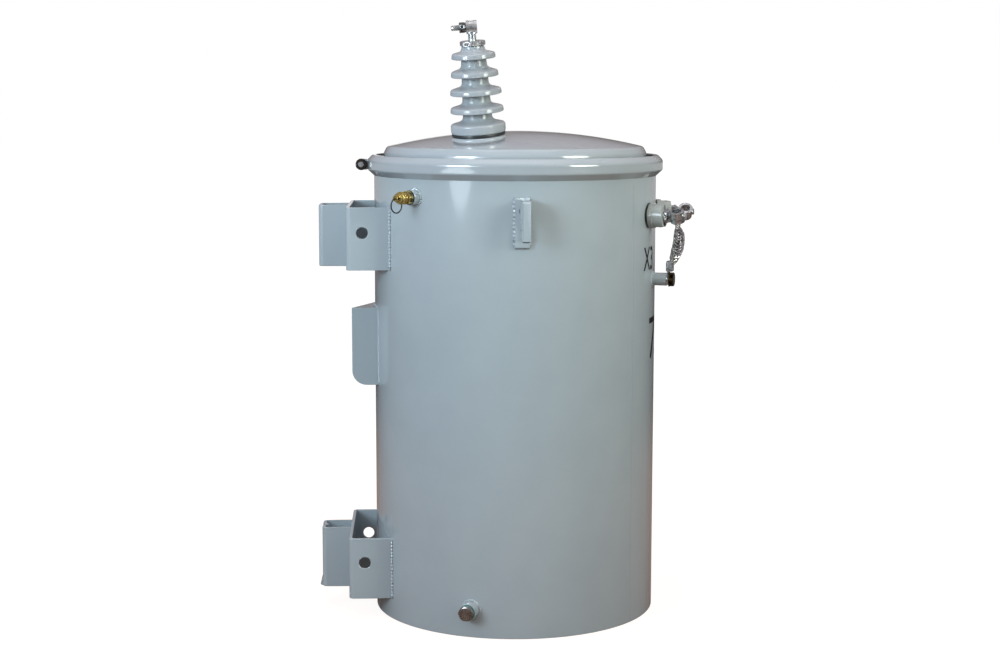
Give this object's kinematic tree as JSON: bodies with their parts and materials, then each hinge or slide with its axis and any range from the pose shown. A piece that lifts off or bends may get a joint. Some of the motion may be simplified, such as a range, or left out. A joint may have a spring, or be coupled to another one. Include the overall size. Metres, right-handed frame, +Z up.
{
  "type": "pole mounted distribution transformer",
  "caption": "Round oil filled tank with a clamped domed cover, one high voltage bushing on top, low voltage bushings on the side and hangers for a pole.",
  "frame": {"origin": "centre of the tank's base, on the floor", "axes": "+Z up, -X towards the pole (hangers), +X towards the low voltage bushings, -Y towards the first lifting lug"},
  "size_m": [0.6835, 0.596, 1.0634],
  "materials": {
    "tank_paint": "glossy light grey enamel",
    "cover_paint": "glossy light grey enamel",
    "hanger_paint": "glossy light grey enamel",
    "porcelain": "grey glaze",
    "lv_porcelain": "grey glaze",
    "gasket_rubber": "black, dull",
    "seal_green": "teal green, dull",
    "tinned_metal": "tinned, bright",
    "nut_steel": "plated, weathered",
    "ring_steel": "dark spring steel",
    "valve_brass": "machined",
    "bolt_bronze": "weathered bronze",
    "braid": "tinned copper braid",
    "core_steel": "laminated core and wound coils, hidden",
    "plug_steel": "plated, slightly rusty"
  },
  "bodies": {
    "root": {"clamp_band": "tank_paint", "clamp_bolt": "nut_steel", "clamp_ears": "nut_steel", "clamp_nut": "nut_steel", "core_and_coils": "core_steel", "cover": "cover_paint", "cover_gasket": "gasket_rubber", "drain_boss": "tank_paint", "drain_plug": "plug_steel", "drain_seal": "seal_green", "ground_bolt": "bolt_bronze", "ground_boss": "tank_paint", "ground_strap": "braid", "hv_cap_nut": "tinned_metal", "hv_clamp_bolt": "nut_steel", "hv_eye": "tinned_metal", "hv_gasket": "gasket_rubber", "hv_porcelain": "porcelain", "hv_seat": "cover_paint", "hv_stud": "tinned_metal", "lifting_lug_front": "tank_paint", "lifting_lug_rear": "tank_paint", "lower_hanger": "hanger_paint", "lower_pole_channel": "hanger_paint", "lv_eye_x1": "tinned_metal", "lv_eye_x2": "tinned_metal", "lv_eye_x3": "tinned_metal", "lv_gasket_x1": "gasket_rubber", "lv_gasket_x2": "gasket_rubber", "lv_gasket_x3": "gasket_rubber", "lv_porcelain_x1": "lv_porcelain", "lv_porcelain_x2": "lv_porcelain", "lv_porcelain_x3": "lv_porcelain", "lv_stud_x1": "tinned_metal", "lv_stud_x2": "tinned_metal", "lv_stud_x3": "tinned_metal", "side_bracket": "hanger_paint", "strap_lug_lower": "tinned_metal", "strap_lug_upper": "tinned_metal", "tank_bottom": "tank_paint", "tank_wall": "tank_paint", "upper_hanger": "hanger_paint", "upper_pole_channel": "hanger_paint", "valve_body": "valve_brass", "valve_boss": "tank_paint", "valve_washer": "gasket_rubber"},
    "valve_stem": {"valve_stem": "valve_brass"},
    "pull_ring": {"pull_ring": "ring_steel"}
  },
  "joints": [
    {"name": "valve_pull", "type": "slide", "parent": "root", "child": "valve_stem", "axis": [-0.7071, -0.7071, 0], "range_m": [0, 0.004], "stiffness_N_per_m": 2000, "springref_m": -0.002},
    {"name": "ring_swing", "type": "hinge", "parent": "valve_stem", "child": "pull_ring", "pos_m": [-0.21072, -0.21072, 0.7575], "axis": [-0.7071, 0.7071, 0], "range_deg": [-4, 180]}
  ]
}
